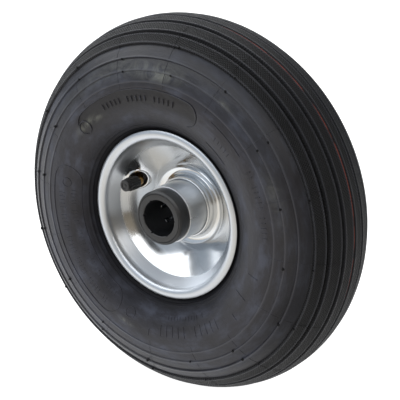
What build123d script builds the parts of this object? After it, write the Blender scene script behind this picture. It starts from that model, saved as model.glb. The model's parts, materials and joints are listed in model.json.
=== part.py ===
from build123d import *
from math import atan2, cos, degrees, radians, sin, sqrt, tan
import os

# Air-filled wheel for a hand truck. It turns about Y, its origin is the middle of the axle bore,
# and the side with the valve faces -Y. All sizes are in mm.
# Sections are drawn with x as the distance from the axle and y along it, then turned about Y.

# Tyre
tyre_radius = 130.0
tyre_width = 83.0
crown_height = 43.0           # from the widest place out to the tread
tread_thickness = 7.0
wall_thickness = 4.0
foot_gap = 1.0                # from the lip's edge out to the foot of the outer wall
foot_inset = 0.85             # how far the foot lies behind the lip's edge
bead_height = 4.0             # from the lip's edge out to where the inner wall starts to thicken
bead_top_inset = 3.5
bead_shoulder_drop = 1.5      # these drops are measured from the lip's edge towards the axle
bead_shoulder_offset = 19.5   # half width inside the bead's shoulders
bead_toe_drop = 10.4
bead_toe_offset = 18.0
bead_wire_section = 1.9       # radius of the wire bundle
bead_wire_drop = 4.6
bead_wire_offset = 24.3
groove_offsets = (4.5, 14.1, 24.0)
groove_radius = 1.1

# Rim halves
sheet = 1.5
lip_radius = 58.0
lip_offset = 30.9             # offsets are measured from the wheel's middle along the axle
lip_crown_drop = 3.0
lip_crown_rise = 0.9
lip_width = 6.7
lip_inner_inset = 2.1
wall_bulge = 0.7
wall_depth = 7.6              # axial depth of the bead wall
wall_drop = 5.6
hub_collar_reach = 9.5        # how far the collar stands from the middle
hub_collar_fillet = 3.3
hub_ring_width = 5.6          # flat ring where the halves meet
cone_foot_fillet = 6.0
bead_clearance = 0.1

# Inner tube
tube_wall = 2.0
tube_clearance = 0.3
well_floor_radius = 33.0

# Hub
axle_radius = 12.5
hub_length = 75.0
hub_tube_radius = 19.5
hub_tube_wall = 2.0
hub_tube_length = 56.6
bush_step = 0.9               # how far the bush stays inside the tube's outer face
bush_spigot_length = 7.0
bush_chamfer = 1.3
bush_bore_chamfer = 0.4
notch_count = 6
notch_angle = 2.0
notch_width = 0.9
notch_depth = 0.6
notch_length = 2.0

# Roller bearing
roller_count = 8
roller_length = 36.0
roller_running_clearance = 0.02
cage_clearance = 0.5
cage_end_clearance = 0.4
pocket_clearance = 0.15
roller_chamfer = 0.4

# Valve
valve_angle = 158.0           # from +X towards +Z
valve_drop = 7.4              # of the hole's centre, from the crease towards the axle
valve_lean = 3.5              # the straight leg leans outwards from the axle's direction
valve_hole_radius = 6.2
valve_collar_wall = 1.5
valve_collar_height = 1.1
valve_collar_root = 1.0       # how deep the collar starts in the sheet
stem_radius = 3.6
stem_corner_height = 2.75     # of the bend's corner over the cone's visible face
stem_bend_radius = 5.0
stem_air_bore = 1.2
foot_depth = 1.9              # of the foot's face below the sheet
foot_radius = 9.0
foot_thickness = 2.0
foot_boss_wall = 1.6
foot_boss_height = 1.2
pocket_gap = 0.6
stem_wall = 1.1               # around the core
core_bore_length = 12.1
core_recess = 1.0
core_length = 8.0
core_plug_length = 3.2
core_wall = 0.4
core_floor = 0.8
gasket_length = 1.6
gasket_wall = 0.4
pin_radius = 0.5
pin_guide_clearance = 0.1
pin_proud = 0.4
pin_collar_clearance = 0.2
pin_collar_thickness = 0.8
pin_collar_depth = 1.2        # from the top of the core down to the collar
seal_thickness = 0.8
seal_cup_thickness = 0.6
spring_wire = 0.2
spring_turns = 5
cap_length = 12.3
cap_wall = 0.95
cap_thread_clearance = 0.1
cap_cone_clearance = 0.8      # from the cap's outer edge to the cone
cap_end_wall = 1.3
cap_seal_thickness = 0.55
cap_seal_clearance = 0.05
cap_rib_count = 16
cap_rib_depth = 0.3
cap_rib_end = 3.3             # bare length at the cap's closed end
cap_end_chamfer = 0.7

# Worked out from the sizes above
half_width = tyre_width / 2
belly_radius = tyre_radius - crown_height
foot_radius_in_tyre = lip_radius + foot_gap
foot_offset = lip_offset - foot_inset
bead_top_radius = lip_radius + bead_height
bead_top_offset = lip_offset - bead_top_inset
bead_shoulder_radius = lip_radius - bead_shoulder_drop
bead_toe_radius = lip_radius - bead_toe_drop
bead_wire_hoop = lip_radius - bead_wire_drop
lip_crown = (lip_radius - lip_crown_drop, lip_offset + lip_crown_rise)
lip_inner = (lip_radius - lip_width, lip_offset - lip_inner_inset)
crease = (lip_inner[0] - wall_drop, lip_inner[1] - wall_depth)
half_hub = hub_length / 2
half_tube = hub_tube_length / 2
hub_bore_radius = hub_tube_radius - hub_tube_wall
collar_radius = hub_tube_radius + sheet
bush_radius = hub_tube_radius - bush_step
cone_foot_radius = collar_radius + hub_ring_width
cone_angle = atan2(crease[1] - sheet, crease[0] - cone_foot_radius)
roller_radius = (hub_bore_radius - axle_radius) / 2 - roller_running_clearance
roller_pitch = (hub_bore_radius + axle_radius) / 2
cage_length = 2 * (half_tube - bush_spigot_length - cage_end_clearance)
valve_radius = crease[0] - valve_drop
valve_collar_radius = valve_hole_radius + valve_collar_wall
leg_angle = cone_angle + radians(valve_lean)
core_bore_radius = stem_radius - stem_wall
core_barrel_radius = core_bore_radius - gasket_wall
core_inner_radius = core_barrel_radius - core_wall
pin_collar_radius = core_inner_radius - pin_collar_clearance
seal_radius = core_barrel_radius - gasket_wall
cap_bore_radius = stem_radius + cap_thread_clearance
cap_radius = cap_bore_radius + cap_wall
cap_start = (cap_cone_clearance + cap_radius * sin(leg_angle) - stem_corner_height) / cos(leg_angle)
cap_bore_end = cap_start + cap_length - cap_end_wall
stem_leg_length = cap_bore_end - cap_seal_thickness - cap_seal_clearance
far = tyre_radius * 2


def ring(section):
    """Turn a section about the axle."""
    return revolve(section, Axis.Y)


def flipped(shape):
    return mirror(shape, Plane.XZ)


def cone_radius(offset, depth):
    """Distance from the axle of the cone's face, depth below its visible side."""
    return cone_foot_radius + (offset - sheet) / tan(cone_angle) + depth / sin(cone_angle)


def cone_offset(radius, depth):
    return sheet + (radius - cone_foot_radius - depth / sin(cone_angle)) * tan(cone_angle)


def rim_face_line():
    """Visible side of a rim half, from the hub collar to the lip's outer edge."""
    dish = FilletPolyline(
        (collar_radius, hub_collar_reach),
        (collar_radius, sheet),
        (cone_foot_radius, sheet),
        crease,
        radius=[hub_collar_fillet, cone_foot_fillet],
    )
    wall_angle = atan2(wall_depth, wall_drop)
    middle = ((crease[0] + lip_inner[0]) / 2, (crease[1] + lip_inner[1]) / 2)
    bulge = (middle[0] + wall_bulge * sin(wall_angle), middle[1] - wall_bulge * cos(wall_angle))
    wall = ThreePointArc(crease, bulge, lip_inner)
    lip = ThreePointArc(lip_inner, lip_crown, (lip_radius, lip_offset))
    return Wire(dish.edges() + wall.edges() + lip.edges())


def rim_sheet_section(thickness):
    """The rim's sheet, thickened away from its visible side."""
    outline = offset(rim_face_line(), thickness, side=Side.RIGHT, closed=True, kind=Kind.INTERSECTION)
    return make_face(outline.edges())


def rim_blank_section(thickness):
    """Everything on the visible side of a rim half, with its sheet."""
    face_line = rim_face_line()
    corners = [(lip_radius, lip_offset), (lip_radius, far), (0, far), (0, hub_collar_reach)]
    outer = Polyline(*corners, (collar_radius, hub_collar_reach))
    return make_face(face_line.edges() + outer.edges()) + rim_sheet_section(thickness)


def wall_reach(radius, offset_y, width):
    """Radial half axis of the ellipse about the belly that passes through a point of the wall."""
    return (belly_radius - radius) / sqrt(1 - (offset_y / width) ** 2)


def belly_curves(crown_reach, wall_reach, width, end_angle):
    """Crown and both walls, as arcs of ellipses about the belly, down to end_angle on each side."""
    centre = (belly_radius, 0)
    wall_arc = end_angle - 90
    crown = EllipticalCenterArc(centre, crown_reach, width, start_angle=-90, arc_size=180)
    rear_wall = EllipticalCenterArc(centre, wall_reach, width, start_angle=90, arc_size=wall_arc)
    front_wall = EllipticalCenterArc(centre, wall_reach, width, start_angle=-end_angle, arc_size=wall_arc)
    return [crown.edge(), rear_wall.edge(), front_wall.edge()]


def tyre_outer_section():
    reach = wall_reach(foot_radius_in_tyre, foot_offset, half_width)
    foot_angle = degrees(atan2(foot_offset / half_width, (foot_radius_in_tyre - belly_radius) / reach))
    curves = belly_curves(crown_height, reach, half_width, foot_angle)
    under_lip = (foot_radius_in_tyre - sheet / 2, foot_offset - sheet)
    in_sheet = (lip_crown[0], lip_crown[1] - sheet)
    in_dish = (bead_toe_radius, lip_inner[1])
    half = [(foot_radius_in_tyre, foot_offset), under_lip, in_sheet, in_dish]
    base = Polyline(*half, *[(radius, -offset_y) for radius, offset_y in reversed(half)])
    return make_face(curves + base.edges())


def air_section(gap):
    """The space between tyre and rim, drawn in by gap on every side."""
    width = half_width - wall_thickness
    reach = wall_reach(bead_top_radius, bead_top_offset, width) - gap
    width -= gap
    top_cosine = (bead_top_radius - belly_radius) / reach
    top_offset = width * sqrt(1 - top_cosine ** 2)
    end_angle = degrees(atan2(top_offset / width, top_cosine))
    curves = belly_curves(crown_height - tread_thickness - gap, reach, width, end_angle)
    toe_offset = bead_toe_offset - gap
    floor = well_floor_radius + gap
    half = [
        (bead_top_radius, top_offset),
        (bead_shoulder_radius, bead_shoulder_offset - gap),
        (bead_toe_radius, toe_offset),
        (cone_radius(toe_offset, sheet + gap), toe_offset),
        (floor, cone_offset(floor, sheet + gap)),
    ]
    base = Polyline(*half, *[(radius, -offset_y) for radius, offset_y in reversed(half)])
    return make_face(curves + base.edges())


# Valve axes, drawn in the plane of the section and then turned to the valve's place.
# The front half is at negative y.
turn_to_valve = Rot(0, -valve_angle, 0)
hole_normal = Vector(-sin(cone_angle), -cos(cone_angle), 0)
leg_direction = Vector(sin(radians(valve_lean)), -cos(radians(valve_lean)), 0)
hole_centre = Vector(valve_radius, -cone_offset(valve_radius, 0), 0)
bend_corner = hole_centre + hole_normal * stem_corner_height
foot_centre = hole_centre - hole_normal * (sheet + foot_depth)


def post(origin, direction, start, end, radius):
    """A cylinder along direction, from start to end measured from origin."""
    base = Plane(origin=origin + direction * start, z_dir=direction)
    return extrude(base * Circle(radius), end - start)


def along_leg(start, end, radius):
    """A cylinder on the stem's straight leg, measured from the bend's corner."""
    return post(bend_corner, leg_direction, start, end, radius)


def make_tyre():
    section = tyre_outer_section() - air_section(0)
    section -= rim_blank_section(sheet + bead_clearance)
    section -= flipped(rim_blank_section(sheet + bead_clearance))
    for offset_y in groove_offsets:
        for side in (-1, 1):
            surface = section_radius(offset_y)
            section -= Pos(surface, side * offset_y) * Circle(groove_radius)
    for side in (-1, 1):
        section -= Pos(bead_wire_hoop, side * bead_wire_offset) * Circle(bead_wire_section)
    return ring(section)


def section_radius(offset_y):
    """Radius of the tyre's outer face at a distance from its middle."""
    return belly_radius + crown_height * sqrt(1 - (offset_y / half_width) ** 2)


def make_bead_wire(side):
    return ring(Pos(bead_wire_hoop, side * bead_wire_offset) * Circle(bead_wire_section))


def foot_pocket(gap):
    """Dent in the inner tube that holds the valve's foot."""
    depth = foot_thickness + gap
    start = foot_centre - hole_normal * depth
    return turn_to_valve * post(start, hole_normal, 0, far / 4, foot_radius + pocket_gap + gap)


def make_inner_tube():
    outer = ring(air_section(tube_clearance)) - foot_pocket(0)
    air = ring(air_section(tube_clearance + tube_wall)) - foot_pocket(tube_wall)
    inlet = turn_to_valve * post(foot_centre, hole_normal, -far / 20, 0, stem_air_bore)
    return outer - air - inlet


def make_rim_rear():
    return ring(rim_sheet_section(sheet))


def make_rim_front():
    collar = post(hole_centre, hole_normal, -valve_collar_root, valve_collar_height, valve_collar_radius)
    hole = post(hole_centre, hole_normal, -far / 20, far / 20, valve_hole_radius)
    return flipped(make_rim_rear()) + turn_to_valve * collar - turn_to_valve * hole


def make_hub_tube():
    wall = Pos((hub_tube_radius + hub_bore_radius) / 2, 0) * Rectangle(hub_tube_wall, hub_tube_length)
    return ring(wall)


def make_end_bush():
    """Bush for the rear end; the front one is its mirror image."""
    outline = Polyline(
        (axle_radius, half_tube - bush_spigot_length),
        (hub_bore_radius, half_tube - bush_spigot_length),
        (hub_bore_radius, half_tube),
        (bush_radius, half_tube),
        (bush_radius, half_hub - bush_chamfer),
        (bush_radius - bush_chamfer, half_hub),
        (axle_radius + bush_bore_chamfer, half_hub),
        (axle_radius, half_hub - bush_bore_chamfer),
        close=True,
    )
    bush = ring(make_face(outline.edges()))
    for index in range(notch_count):
        notch = Box(2 * notch_depth, notch_length, notch_width)
        place = Pos(axle_radius + bush_bore_chamfer, half_hub, 0)
        bush -= Rot(0, -notch_angle - index * 360 / notch_count, 0) * place * notch
    return bush


def make_bearing_cage():
    inner = axle_radius + cage_clearance
    outer = hub_bore_radius - cage_clearance
    cage = ring(Pos((inner + outer) / 2, 0) * Rectangle(outer - inner, cage_length))
    pocket_radius = roller_radius + pocket_clearance
    pocket_length = roller_length + 2 * pocket_clearance
    for index in range(roller_count):
        pocket = Rot(90, 0, 0) * Cylinder(pocket_radius, pocket_length)
        cage -= Rot(0, -index * 360 / roller_count, 0) * Pos(roller_pitch, 0, 0) * pocket
    return cage


def make_roller(index):
    half = roller_length / 2
    outline = Polyline(
        (0, -half),
        (roller_radius - roller_chamfer, -half),
        (roller_radius, roller_chamfer - half),
        (roller_radius, half - roller_chamfer),
        (roller_radius - roller_chamfer, half),
        (0, half),
        close=True,
    )
    roller = ring(make_face(outline.edges()))
    return Rot(0, -index * 360 / roller_count, 0) * Pos(roller_pitch, 0, 0) * roller


def make_valve_foot():
    base = post(foot_centre, hole_normal, -foot_thickness, 0, foot_radius)
    boss = post(foot_centre, hole_normal, 0, foot_boss_height, stem_radius + foot_boss_wall)
    stem = post(foot_centre, hole_normal, -foot_thickness / 2, 2 * foot_boss_height, stem_radius)
    bore = post(foot_centre, hole_normal, -foot_thickness, 0, stem_air_bore)
    return turn_to_valve * (base + boss - stem - bore)


def make_valve_stem():
    root = foot_centre - hole_normal * (foot_thickness / 2)
    tip = bend_corner + leg_direction * stem_leg_length
    route = FilletPolyline(root, bend_corner, tip, radius=stem_bend_radius)
    start = Plane(origin=root, z_dir=hole_normal)
    stem = sweep(start * Circle(stem_radius), path=route)
    stem -= sweep(start * Circle(stem_air_bore), path=route)
    stem -= along_leg(stem_leg_length - core_bore_length, stem_leg_length, core_bore_radius)
    return turn_to_valve * stem


core_top = stem_leg_length - core_recess
core_bottom = core_top - core_length
spring_start = core_bottom + core_floor
pin_collar_end = core_top - pin_collar_depth
pin_collar_start = pin_collar_end - pin_collar_thickness


def make_valve_core_body():
    plug = along_leg(core_top - core_plug_length, core_top, core_bore_radius)
    barrel = along_leg(core_bottom, core_top - core_plug_length, core_barrel_radius)
    hollow = along_leg(spring_start, core_top, core_inner_radius)
    guide = along_leg(core_bottom, spring_start, pin_radius + pin_guide_clearance)
    return turn_to_valve * (plug + barrel - hollow - guide)


def make_valve_core_gasket():
    end = core_top - core_plug_length
    gasket = along_leg(end - gasket_length, end, core_bore_radius)
    return turn_to_valve * (gasket - along_leg(end - gasket_length, end, core_barrel_radius))


def make_valve_core_pin():
    cup_end = core_bottom - seal_thickness
    cup_start = cup_end - seal_cup_thickness
    pin = along_leg(cup_start, core_top + pin_proud, pin_radius)
    pin += along_leg(cup_start, cup_end, seal_radius)
    pin += along_leg(pin_collar_start, pin_collar_end, pin_collar_radius)
    return turn_to_valve * pin


def make_valve_core_seal():
    start = core_bottom - seal_thickness
    washer = along_leg(start, core_bottom, seal_radius)
    return turn_to_valve * (washer - along_leg(start, core_bottom, pin_radius))


def make_valve_core_spring():
    length = pin_collar_start - spring_start - 2 * spring_wire
    coil = Helix(length / spring_turns, length, pin_collar_radius - spring_wire)
    wire = Plane(origin=coil @ 0, z_dir=coil % 0) * Circle(spring_wire)
    spring = sweep(wire, path=coil, is_frenet=True)
    seat = Plane(origin=bend_corner + leg_direction * (spring_start + spring_wire), z_dir=leg_direction)
    return turn_to_valve * (seat.location * spring)


def make_valve_cap():
    base = Plane(origin=bend_corner + leg_direction * cap_start, z_dir=leg_direction)
    core_radius = cap_radius - cap_rib_depth
    rib_length = cap_length - cap_rib_end
    body = extrude(Circle(core_radius), cap_length)
    body = chamfer(body.edges().group_by(Axis.Z)[-1], cap_end_chamfer)
    for index in range(cap_rib_count):
        rib = Pos(core_radius, 0, rib_length / 2) * Cylinder(cap_rib_depth, rib_length)
        body += Rot(0, 0, index * 360 / cap_rib_count) * rib
    cap = base.location * body
    return turn_to_valve * (cap - along_leg(cap_start, cap_bore_end, cap_bore_radius))


def make_valve_cap_seal():
    return turn_to_valve * along_leg(cap_bore_end - cap_seal_thickness, cap_bore_end, cap_bore_radius)


parts = {
    "tyre": make_tyre(),
    "bead_wire_front": make_bead_wire(-1),
    "bead_wire_rear": make_bead_wire(1),
    "inner_tube": make_inner_tube(),
    "rim_front": make_rim_front(),
    "rim_rear": make_rim_rear(),
    "hub_tube": make_hub_tube(),
    "end_bush_front": flipped(make_end_bush()),
    "end_bush_rear": make_end_bush(),
    "bearing_cage": make_bearing_cage(),
    "valve_foot": make_valve_foot(),
    "valve_stem": make_valve_stem(),
    "valve_core_body": make_valve_core_body(),
    "valve_core_gasket": make_valve_core_gasket(),
    "valve_core_pin": make_valve_core_pin(),
    "valve_core_seal": make_valve_core_seal(),
    "valve_core_spring": make_valve_core_spring(),
    "valve_cap": make_valve_cap(),
    "valve_cap_seal": make_valve_cap_seal(),
}
for number in range(roller_count):
    parts[f"roller_{number + 1}"] = make_roller(number)

os.makedirs("parts", exist_ok=True)
for node, shape in parts.items():
    export_step(shape, f"parts/{node}.step")
    print(node, round(shape.volume, 1))
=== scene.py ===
import json
from functools import partial
from math import acos, atan2, ceil, cos, degrees, exp, hypot, pi, radians, sin, sqrt, tan

import bmesh
import bpy
import numpy as np
from mathutils import Matrix, Vector


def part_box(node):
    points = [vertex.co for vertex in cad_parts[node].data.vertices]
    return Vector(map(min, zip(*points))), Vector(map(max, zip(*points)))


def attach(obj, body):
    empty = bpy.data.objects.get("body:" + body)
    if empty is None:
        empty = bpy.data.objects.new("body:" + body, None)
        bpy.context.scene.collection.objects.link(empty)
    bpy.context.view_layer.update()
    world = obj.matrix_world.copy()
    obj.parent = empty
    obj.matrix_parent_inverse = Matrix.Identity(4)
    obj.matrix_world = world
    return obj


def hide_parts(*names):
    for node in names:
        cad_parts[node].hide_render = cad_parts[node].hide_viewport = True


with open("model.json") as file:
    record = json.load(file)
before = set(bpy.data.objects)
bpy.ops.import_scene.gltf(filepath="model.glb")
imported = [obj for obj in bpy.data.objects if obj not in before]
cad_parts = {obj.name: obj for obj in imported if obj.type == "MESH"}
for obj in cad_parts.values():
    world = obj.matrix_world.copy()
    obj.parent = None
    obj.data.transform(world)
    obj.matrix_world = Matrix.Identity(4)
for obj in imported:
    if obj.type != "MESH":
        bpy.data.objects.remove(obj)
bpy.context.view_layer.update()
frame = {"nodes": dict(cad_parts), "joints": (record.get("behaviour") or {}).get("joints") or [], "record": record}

mm = 0.001
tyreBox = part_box("tyre")
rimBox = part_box("rim_front")
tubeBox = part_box("hub_tube")
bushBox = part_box("end_bush_front")
recordBodies = frame["record"]["behaviour"]["bodies"]
bodyOf = {node: body for body, nodes in recordBodies.items() for node in nodes}
joints = {joint["name"]: joint for joint in frame["joints"]}


# colours, nodes and materials

def linear(hexColour):
    parts = [int(hexColour[i:i + 2], 16) / 255 for i in (1, 3, 5)]
    return tuple(p / 12.92 if p <= 0.04045 else ((p + 0.055) / 1.055) ** 2.4 for p in parts) + (1.0,)


def addNode(tree, kind, values=()):
    # kind leaves out "ShaderNode" and ends with the node's operation or type; values fill sockets and
    # properties: a node or socket is linked, "stops" fill a ramp, "from" and "to" are pairs
    kind, _, option = kind.partition(" ")
    node = tree.nodes.new(kind if "Node" in kind else "ShaderNode" + kind)
    if option:
        setattr(node, {"Mix": "data_type", "MapRange": "interpolation_type"}.get(kind, "operation"), option)
    for name, value in dict(values).items():
        value = value.outputs[0] if isinstance(value, bpy.types.Node) else value
        if isinstance(value, bpy.types.NodeSocket):
            tree.links.new(value, node.inputs[name])
        elif name == "stops":
            elements = node.color_ramp.elements
            for index, (place, level) in enumerate(value):
                element = elements[index] if index < 2 else elements.new(place)
                element.position = place
                element.color = linear(level) if isinstance(level, str) else (level, level, level, 1.0)
        elif name in ("from", "to"):
            for end, number in zip((" Min", " Max"), value):
                node.inputs[name.title() + end].default_value = number
        else:
            value = linear(value) if isinstance(value, str) and value.startswith("#") else value
            if isinstance(name, int) or name in node.inputs:
                node.inputs[name].default_value = value
            else:
                setattr(node, name, value)
    return node


def startMaterial(name):
    material = bpy.data.materials.new(name)
    material.use_nodes = True
    material.node_tree.nodes.clear()
    add = partial(addNode, material.node_tree)
    return material, add, add("TexCoord").outputs["Object"]


def endMaterial(add, values):
    add("OutputMaterial", {"Surface": add("BsdfPrincipled", values)})


def roundPlace(add, place):
    # direction round the axle, distance from it, and the angle over the casing from the crown, in radians
    flat = add("VectorMath MULTIPLY", {0: place, 1: (1.0, 0.0, 1.0)})
    away = add("VectorMath LENGTH", {0: flat}).outputs["Value"]
    way = add("VectorMath NORMALIZE", {0: flat})
    across = add("SeparateXYZ", {0: place}).outputs[1]
    wide = add("Math DIVIDE", {0: across, 1: halfWidth * mm})
    out = add("Math SUBTRACT", {0: away, 1: bellyRadius * mm})
    tall = add("Math DIVIDE", {0: out, 1: tyre["crownHeight"] * mm})
    over = add("Math ARCTAN2", {0: wide, 1: tall})
    return way, away, over


def streaks(add, way, climb, spread, rate, settings):
    # noise that changes slowly round the axle and at its own rate across it
    wide = add("VectorMath SCALE", {0: way, "Scale": spread})
    tall = add("CombineXYZ", {"Y": add("Math MULTIPLY", {0: climb, 1: rate})})
    return add("TexNoise", {"Vector": add("VectorMath ADD", {0: wide, 1: tall}), **settings})


# Natural rubber vulcanised in a steel mould: near black, satin, with a dusty blue bloom round the wall.
# The tread's part of the mould is knurled, so the ribs are matter and show a fine diamond pattern.
rubberLook = {
    "treadEdge": 0.84,         # radians over the casing, where the knurled ribs end
    "weaveRepeats": 200,       # the real 1.2 mm pitch is too fine to show, so it is drawn at 2 mm
    "weaveDepth": 0.6,
    "redLine": -0.104,         # radians over the casing: the groove next to the middle rib
    "redHalf": 0.015,
}


def mouldedRubber():
    material, add, place = startMaterial("mouldedTyreRubber")
    way, _, over = roundPlace(add, place)
    size = add("Math ABSOLUTE", {0: over})
    sunk, scuff, edge = (add("Attribute", {"attribute_name": name}).outputs["Fac"]
                         for name in ("sunk", "scuff", "edge"))
    smear = streaks(add, way, over, 2.6, 3.2, {"Scale": 1.6, "Detail": 6.0, "Roughness": 0.62})
    patch = add("TexNoise", {"Vector": place, "Scale": 1 / 0.009, "Detail": 5.0, "Roughness": 0.6})
    fine = add("MapRange", {0: patch, "to": (0.78, 1.22)})
    dusty = add("Math MULTIPLY", {0: smear, 1: fine})
    bloom = add("ValToRGB", {0: dusty, "stops": ((0.34, "#1c1b21"), (0.68, "#3c3f4b"), (0.5, "#27272f"))})
    # near black at the bead as painted shade of the gap by the rim's lip, dusty over the wall, plain black on the
    # tread
    zone = add("ValToRGB", {0: add("Math DIVIDE", {0: size, 1: pi}), "stops": (
        (0.0, 0.0), (1.0, 0.0), (0.265, 0.0), (0.275, 0.55), (0.5, 1.0), (0.64, 0.9), (0.73, 0.0))})
    bareAndBeadShade = add("Mix RGBA", {6: "#0f0f12", 0: zone, 7: bloom})
    # sunk panels keep the mould's matt black
    colour = add("Mix RGBA", {7: "#121116", 0: sunk, 6: bareAndBeadShade.outputs[2]})
    # pale scuffs, where the tyre was dragged
    scratch = add("TexNoise", {
        "Vector": place, "Scale": 1 / 0.011, "Detail": 7.0, "Roughness": 0.7, "Distortion": 1.2})
    scuffed = add("MapRange", {0: scratch, "from": (0.38, 0.72)})
    wallScuff = add("Math MULTIPLY", {0: scuffed, 1: scuff})
    scuffs = add("Mix RGBA", {7: "#8b8d84", 0: wallScuff, 6: colour.outputs[2]})
    # a thin patchy line of red marking paint lies in the groove next to the middle rib
    near = add("Math COMPARE", {0: over, 1: rubberLook["redLine"], 2: rubberLook["redHalf"]})
    patches = add("TexNoise", {"Vector": place, "Scale": 1 / 0.014, "Detail": 4.0})
    left = add("MapRange", {0: patches, "from": (0.36, 0.5)})
    paint = add("Math MULTIPLY", {0: near, 1: left})
    # edges of laps and ribs are rubbed smooth; their paler grey is a painted highlight
    crestHighlight = add("Math MULTIPLY", {0: edge, 1: 0.6})
    highlighted = add("Mix RGBA", {7: "#46474e", 0: crestHighlight, 6: scuffs.outputs[2]})
    painted = add("Mix RGBA", {7: "#a04c3c", 0: paint, 6: highlighted.outputs[2]})
    # the dip at the bead reflects least, standing in for the shade of the gap by the rim's lip
    sheen = add("MapRange", {0: size, "from": (1.9, 2.3), "to": (0.36, 0.06)})
    # the knurled tread is matt, the wall satin
    treadEdge = rubberLook["treadEdge"]
    tread = add("MapRange", {0: size, "from": (treadEdge, treadEdge + 0.02), "to": (1.0, 0.0)})
    satin = add("MapRange", {0: dusty, "from": (0.34, 0.7), "to": (0.36, 0.52)})
    matt = add("Mix FLOAT", {3: 0.62, 0: tread, 2: satin})
    rough = add("Mix FLOAT", {3: 0.32, 0: edge, 2: matt})
    # relief: diamond weave on the tread, faint mould texture everywhere
    parts = add("SeparateXYZ", {0: way}).outputs
    repeats = rubberLook["weaveRepeats"]
    around = add("Math MULTIPLY", {0: add("Math ARCTAN2", {0: parts[2], 1: parts[0]}), 1: float(repeats)})
    along = add("Math MULTIPLY", {0: over, 1: repeats * tyre["crownHeight"] / tyreRadius})
    cuts = []
    for slant in ("ADD", "SUBTRACT"):
        wave = add("Math SINE", {0: add("Math " + slant, {0: around, 1: along})})
        cuts.append(add("Math ABSOLUTE", {0: wave}))
    knurl = add("Math MULTIPLY", {0: add("Math MINIMUM", {0: cuts[0], 1: cuts[1]}), 1: tread})
    grain = add("TexNoise", {"Vector": place, "Scale": 1 / 0.0022, "Detail": 4.0})
    knurled = add("Bump", {"Height": knurl, "Distance": rubberLook["weaveDepth"] * mm})
    grained = add("Bump", {"Distance": 0.00016, "Strength": 0.6, "Height": grain, "Normal": knurled})
    dents = add("Bump", {"Distance": 0.0016, "Strength": 0.35, "Height": smear, "Normal": grained})
    endMaterial(add, {"Base Color": painted.outputs[2], "Specular IOR Level": sheen, "Roughness": rough,
                      "Normal": dents})
    return material


# Cold-pressed steel sheet, bright zinc electroplate with clear passivation: nearly a mirror in the dish,
# brushed round by the press on the wall, satin on the rolled lip.
zincLook = {
    "dish": "#cfd1d3", "rest": "#bfc3c8",
    "wall": (0.0445, 0.0015), "lip": (0.0506, 0.002),    # metres: where each starts and how far it blends in
}


def zincPlatedSteel():
    material, add, place = startMaterial("brightZincPlatedSteel")
    way, away, _ = roundPlace(add, place)
    lip, wall = (add("MapRange", {0: away, "from": (start, start + wide)})
                 for start, wide in (zincLook["lip"], zincLook["wall"]))
    cloud = add("TexNoise", {"Vector": place, "Scale": 1 / 0.012, "Detail": 3.0})
    speck = add("TexNoise", {"Vector": place, "Scale": 1 / 0.0009, "Detail": 2.0})
    # marks left by the press tool run round the axle
    rings = streaks(add, way, away, 0.8, 900.0, {"Scale": 1.5, "Detail": 4.0, "Roughness": 0.6})
    smooth = add("MapRange", {0: cloud, "from": (0.3, 0.7), "to": (0.11, 0.17)})
    brushed = add("Mix FLOAT", {3: 0.29, 0: wall, 2: smooth})
    rough = add("Mix FLOAT", {3: 0.37, 0: lip, 2: brushed})
    tint = add("Mix RGBA", {0: wall, 6: zincLook["dish"], 7: zincLook["rest"]})
    ringed = add("Bump", {"Height": rings, "Distance": 0.00003, "Strength": 0.5})
    specked = add("Bump", {"Distance": 0.00002, "Strength": 0.3, "Height": speck, "Normal": ringed})
    endMaterial(add, {"Metallic": 1.0, "Base Color": tint.outputs[2], "Roughness": rough, "Normal": specked})
    return material


# the plainer finishes: name, shader settings, noise patch in metres, its two colours and two roughnesses,
# bump in metres, and how the pattern is stretched
plainFinishes = {
    # drawn steel tube under the same zinc plate: greyer than the dish, with faint lines along it
    "tubeZinc": ("zincPlatedDrawnTube", {"Metallic": 1.0}, 0.004, ("#c3c6ca", "#cdd0d3"), (0.27, 0.33),
                 0.000001, (1.0, 0.05, 1.0)),
    # injection-moulded polyamide with carbon black: satin, with a faint spark-eroded grain
    "nylon": ("mouldedBlackNylon", {}, 0.003, ("#17181a", "#1f2023"), (0.28, 0.40), 0.00004),
    # soft polythene of the dust cap: waxy, a little glossier where fingers have worn it
    "polythene": ("mouldedBlackPolythene", {}, 0.0025, ("#111113", "#19191b"), (0.30, 0.46), 0.00003),
    # turned free-cutting brass under a dull film of tarnish
    "brass": ("turnedBrass", {"Metallic": 1.0}, 0.002, ("#8d6a38", "#b99458"), (0.34, 0.24), 0.00001),
    # ground and hardened bearing steel: bright, with a thin film of old grease
    "steel": ("groundBearingSteel", {"Metallic": 1.0}, 0.003, ("#8d9093", "#a5a8ab"), (0.16, 0.34), 0.00001),
    # bronze-washed bead wire, drawn and stranded
    "beadWire": ("bronzeWashedWire", {"Metallic": 1.0}, 0.0015, ("#7d6a4c", "#9c8a68"), (0.4, 0.5), 0.00002),
    # rubber cut off at the vent holes: duller than the moulded skin, and blacker as painted shade round the nubs
    "cut": ("nubRubberPaintedShade", {"Specular IOR Level": 0.2}, 0.002, ("#08080a", "#111113"), (0.55, 0.7),
            0.00002),
    # butyl rubber of the inner tube, foot and seals: matt, with a film of talc
    "butyl": ("pressedButylRubber", {}, 0.005, ("#1a1a1b", "#2b2b2d"), (0.7, 0.8), 0.00008),
}


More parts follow.
